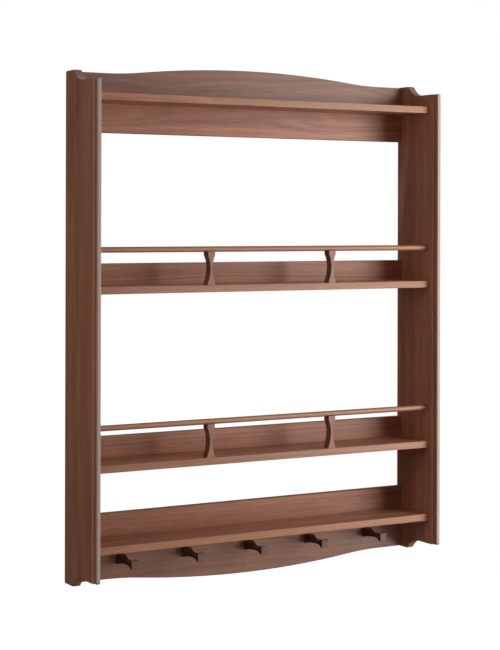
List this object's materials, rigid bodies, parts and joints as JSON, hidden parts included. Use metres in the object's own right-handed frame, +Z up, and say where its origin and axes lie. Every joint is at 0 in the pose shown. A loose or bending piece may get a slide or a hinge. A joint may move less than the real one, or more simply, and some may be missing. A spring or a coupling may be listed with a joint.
{
  "type": "wall plate shelf",
  "caption": "Wall-hung wooden plate shelf with eared sides, serpentine crest and peg boards, plate shelves behind round gallery rails, and hanging pegs.",
  "frame": {"origin": "midway between the two hanging keyholes, on the wall plane", "axes": "+X to the right as one faces it, +Y into the wall, +Z up"},
  "size_m": [0.904, 0.157, 1.1575],
  "materials": {
    "stained_walnut": "satin lacquer over a walnut stain",
    "plain_beech": "bare",
    "zinc_steel": "zinc plated"
  },
  "bodies": {
    "root": {"left_side_panel": "stained_walnut", "right_side_panel": "stained_walnut", "crest_rail": "stained_walnut", "top_shelf": "stained_walnut", "upper_back_rail": "stained_walnut", "upper_plate_shelf": "stained_walnut", "upper_gallery_rail": "stained_walnut", "upper_left_baluster": "stained_walnut", "upper_right_baluster": "stained_walnut", "lower_back_rail": "stained_walnut", "lower_plate_shelf": "stained_walnut", "lower_gallery_rail": "stained_walnut", "lower_left_baluster": "stained_walnut", "lower_right_baluster": "stained_walnut", "bottom_shelf": "stained_walnut", "peg_board": "stained_walnut", "left_outer_peg": "stained_walnut", "left_inner_peg": "stained_walnut", "centre_peg": "stained_walnut", "right_inner_peg": "stained_walnut", "right_outer_peg": "stained_walnut", "shelf_dowels": "plain_beech", "board_dowels": "plain_beech", "baluster_pins": "plain_beech", "shelf_screws": "zinc_steel"}
  },
  "joints": []
}
